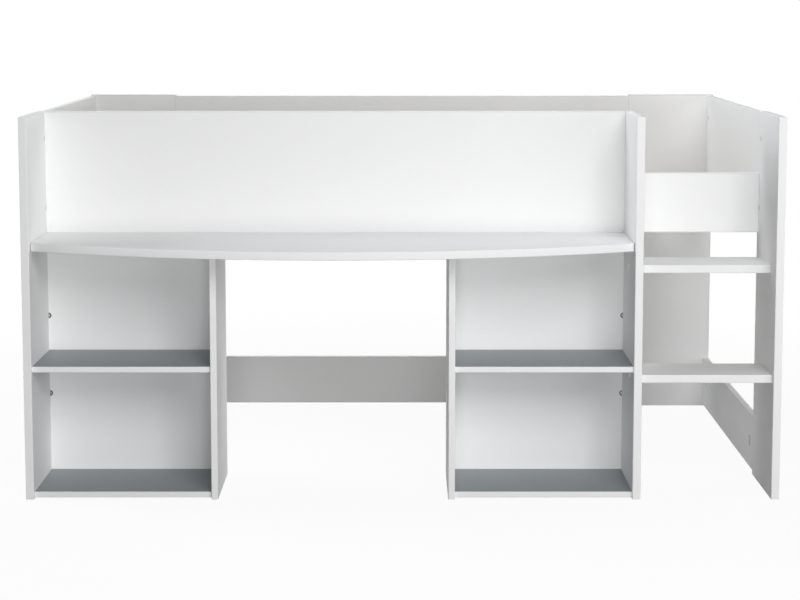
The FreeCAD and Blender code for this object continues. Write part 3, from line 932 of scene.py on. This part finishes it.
def make_half_moons(castings):
    """Half-moon cups: a half disc outline, its chord on the case side, carried back into the board, over
    the dark rim and down to the bright boss.
    The dark rim is painted shade, standing in for the shadow in the pocket. Inset by d the arc's radius is
    R - d, while the chord moves by its own inset."""
    inner_rim = connector_wall - connector_rim
    inset = np.array([0.0, 0.0, connector_rim, inner_rim, connector_wall, connector_wall])
    depth = np.array([connector_depth, connector_rim, 0.0, 0.0, connector_rim, connector_sink])
    chord = np.array(connector_chord_shares) * connector_rim
    reach = connector_radius - inset
    swing = np.arccos(chord / reach)
    angle = np.linspace(-1, 1, round_points) * swing[:, None]
    across = reach[:, None] * np.cos(angle)
    upward = reach[:, None] * np.sin(angle)
    cups = []
    for place, toward in connector_places("left") + connector_places("right"):
        ring = np.empty(across.shape + (3,))
        ring[..., 0] = toward * across
        ring[..., 1] = depth[:, None]
        ring[..., 2] = upward
        cups.append((ring if toward > 0 else ring[:, ::-1]) * mm + place)
    points, faces = skin(np.array(cups))
    # The last face of each cup is its boss, in the second casting
    # Every other face takes the first casting, whose near-black rim is painted shade for the pocket's
    # shadow
    numbers = np.zeros(len(faces))
    numbers[-len(cups):] = 1
    made = new_piece("half_moon_cups", points, faces, castings, numbers)
    dress(made, "bed_frame", "dark_zinc", "half_moon_connectors")


def make_connector_screws(steel):
    """Screws of the half-moon cups: a shank that leaves the case's side and a rounded head in the cup, one
    profile of radius and height turned round the screw's axis."""
    radii = np.array(connector_screw_radius_shares)[:, None] * connector_screw_head / 2
    heights = np.array(connector_screw_height_shares)[:, None] * connector_screw_reach
    inset = np.array([0.0, connector_screw_inset, 0.0]) * mm
    spots = connector_places("left") + connector_places("right")
    places = [place + inset for place, toward in spots]
    facings = [(toward, 0.0, 0.0) for place, toward in spots]
    made = new_piece("connector_screw_set", *turned(places, facings, radii, heights), [steel])
    dress(made, "bed_frame", "zinc_plated_steel", "connector_screws")


def step_cap_spots():
    """Where the caps of the step screws sit: on the far face of each upright beside the steps, halfway up
    each step's edge."""
    left = node_box("middle_upright")[0][0]
    right = node_box("front_right_upright")[1][0]
    spots = []
    for plane, side in ((left, -1.0), (right, 1.0)):
        for name in ("upper_step", "lower_step"):
            depth = node_box(name)[0][1] + step_screw_inset * mm
            spots += face_spots(0, side, plane, (depth,), (node_middle(name)[2],))
    return spots


def make_step_caps(cap):
    """Step screw caps. Inside the bookcase a cap is a dome on a low rim, its height the root of one less
    the share squared. On the bed's outer face it lies flush in its recess, lower towards its rim by the
    share squared."""
    share = np.array(step_cap_shares)
    dome = step_cap_crown + step_cap_dome * np.sqrt(1 - share ** 2)
    dome[0] = 0.0
    flush = -step_cap_crown * share ** 2
    flush[0] = -step_cap_recess
    places, facings = zip(*step_cap_spots())
    domed = (np.array(facings)[:, 0] < 0)[:, None, None]
    radii = share[:, None] * (step_cap_diameter / 2 + step_cap_lap * domed)
    heights = np.where(domed, dome[:, None], flush[:, None])
    made = new_piece("step_caps", *turned(places, facings, radii, heights), [cap])
    dress(made, "bed_frame", "white_cap", "step_screw_caps")


def make_cleat_screws(steel):
    """Cleat screws: raised heads, a dome from which a cross is sunk where a point lies near one of its two
    arms."""
    share = np.array(cleat_screw_shares)[:, None]
    turn = np.linspace(0, 2 * np.pi, round_points, endpoint=False)
    reach = cleat_screw_head / 2 * share
    near_arm = np.minimum(abs(reach * np.cos(turn)), abs(reach * np.sin(turn))) < recess_half_width
    sunk = near_arm & (reach < recess_reach)
    height = cleat_screw_crown * np.sqrt(np.clip(1 - share ** 2, 0, 1)) - recess_depth * sunk
    x = np.linspace(-cleat_screw_half_span, cleat_screw_half_span, cleat_screw_count) * mm
    middle = (node_middle("front_slat_cleat")[2],)
    front = face_spots(1, 1, node_box("front_slat_cleat")[1][1], middle, x)
    rear = face_spots(1, -1, node_box("rear_slat_cleat")[0][1], middle, x)
    made = new_piece("cleat_screw_set", *turned(*zip(*front + rear), reach, height), [steel])
    dress(made, "bed_frame", "zinc_plated_steel", "cleat_screws")


def paint(node, finish):
    """Gives a CAD node that stays its finish, in every material slot it has."""
    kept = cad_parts[node]
    if not kept.material_slots:
        kept.data.materials.append(finish)
    for place in kept.material_slots:
        place.material = finish


def build_bed():
    """Every board and fitting of the bed, in the order a maker would cut and fit them."""
    band = abs_edge_band()
    joint = glue_line()
    core = raw_chipboard()
    casting = zinc_casting()
    steel = zinc_plated_steel()
    webbing = woven_webbing()
    white_board = [white_melamine(), band, joint]
    slate_board = [slate_melamine(), band, joint]
    boards = cut_boards(white_board, slate_board)
    make_desk(white_board)
    bore_rails(boards, moulded_pocket_liner())
    bore_bookcases(boards, core)
    bore_step_caps(boards, core)
    lay_slats()
    for name in ("front_strap", "rear_strap"):
        make_strap(name, webbing)
    make_staples(steel)
    make_covers(moulded_cover_cap())
    make_half_moons([dark_zinc_with_painted_shade(), casting])
    make_connector_screws(steel)
    make_step_caps(moulded_screw_cap())
    make_cleat_screws(steel)
    for name in ("cam_bolts", "rail_bolts", "rail_half_moons", "rail_nuts", "step_screws"):
        paint(name, steel)
    paint("cam_locks", casting)
    paint("dowels", turned_beech())


def place_camera():
    """The photograph's view: level verticals come from the lens shift, as far as the other views allow."""
    lens = bpy.data.cameras.new("camera")
    lens.lens = camera_lens
    lens.shift_y = camera_shift_y
    made = bpy.data.objects.new("camera", lens)
    made.location = camera_place
    made.rotation_euler = (np.pi / 2 - np.radians(camera_pitch_degrees), 0.0, 0.0)
    bpy.context.scene.collection.objects.link(made)
    bpy.context.scene.camera = made


def place_lamps():
    """Square softboxes, each turned to its aim."""
    for name, (place, aim, size, power, colour) in lamps.items():
        lamp = bpy.data.lights.new(name, "AREA")
        lamp.size = size
        lamp.energy = power
        lamp.color = linear(colour)[:3]
        made = bpy.data.objects.new(name, lamp)
        made.location = place
        made.rotation_euler = (Vector(aim) - Vector(place)).to_track_quat("-Z", "Y").to_euler()
        made.visible_camera = False
        bpy.context.scene.collection.objects.link(made)


def seen_directly(tree):
    """One where the eye, a reflection or a clear material looks straight at the surface, zero where light
    bounces."""
    path = add(tree, "ShaderNodeLightPath")
    looked = add(
        tree, "ShaderNodeMath",
        {0: path.outputs["Is Camera Ray"], 1: path.outputs["Is Glossy Ray"]}, operation="MAXIMUM",
    )
    return add(
        tree, "ShaderNodeMath",
        {0: looked.outputs[0], 1: path.outputs["Is Transmission Ray"]}, operation="MAXIMUM",
    ).outputs[0]


def light_world():
    """An even pale surround that lights the bed softly and shows as plain white behind it."""
    world = bpy.data.worlds.new("studio")
    world.use_nodes = True
    bpy.context.scene.world = world
    tree = world.node_tree
    tree.nodes.clear()
    colour = linear(plain_white)
    ambient = add(tree, "ShaderNodeBackground", {"Color": colour, "Strength": ambient_strength})
    white = add(tree, "ShaderNodeBackground", {"Color": colour, "Strength": backdrop_strength})
    shown = add(
        tree, "ShaderNodeMixShader",
        {0: seen_directly(tree), 1: ambient.outputs[0], 2: white.outputs[0]},
    )
    add(tree, "ShaderNodeOutputWorld", {"Surface": shown.outputs[0]})


def lay_floor():
    """A pale paper floor: seen directly it glows to plain white and keeps a faint shadow near the bed.
    Light that only bounces off it meets a duller paper, so that the undersides stay in shade."""
    made = bpy.data.materials.new("studio_paper")
    made.use_nodes = True
    tree = made.node_tree
    tree.nodes.clear()
    place = add(tree, "ShaderNodeTexCoord").outputs["Object"]
    away = add(tree, "ShaderNodeVectorMath", {0: place}, operation="LENGTH")
    fade = add(
        tree, "ShaderNodeMapRange",
        {"Value": away.outputs["Value"], 1: floor_fade_start, 2: floor_fade_end, 3: floor_glow, 4: 1.0},
        interpolation_type="SMOOTHSTEP",
    )
    paper = add(tree, "ShaderNodeBsdfDiffuse", {"Color": linear("#f0f0f0")})
    dull = add(tree, "ShaderNodeBsdfDiffuse", {"Color": linear("#909090")})
    glow = add(tree, "ShaderNodeEmission", {"Color": linear(plain_white), "Strength": backdrop_strength})
    lit = add(tree, "ShaderNodeMixShader", {0: fade.outputs[0], 1: paper.outputs[0], 2: glow.outputs[0]})
    shown = add(
        tree, "ShaderNodeMixShader",
        {0: seen_directly(tree), 1: dull.outputs[0], 2: lit.outputs[0]},
    )
    add(tree, "ShaderNodeOutputMaterial", {"Surface": shown.outputs[0]})
    corners = floor_reach * np.array([(-1, -1, 0), (1, -1, 0), (1, 1, 0), (-1, 1, 0)])
    floor = new_piece("floor", corners, [(0, 1, 2, 3)], [made])


build_bed()
place_camera()
place_lamps()
light_world()
lay_floor()
bpy.context.scene.view_settings.view_transform = "Standard"
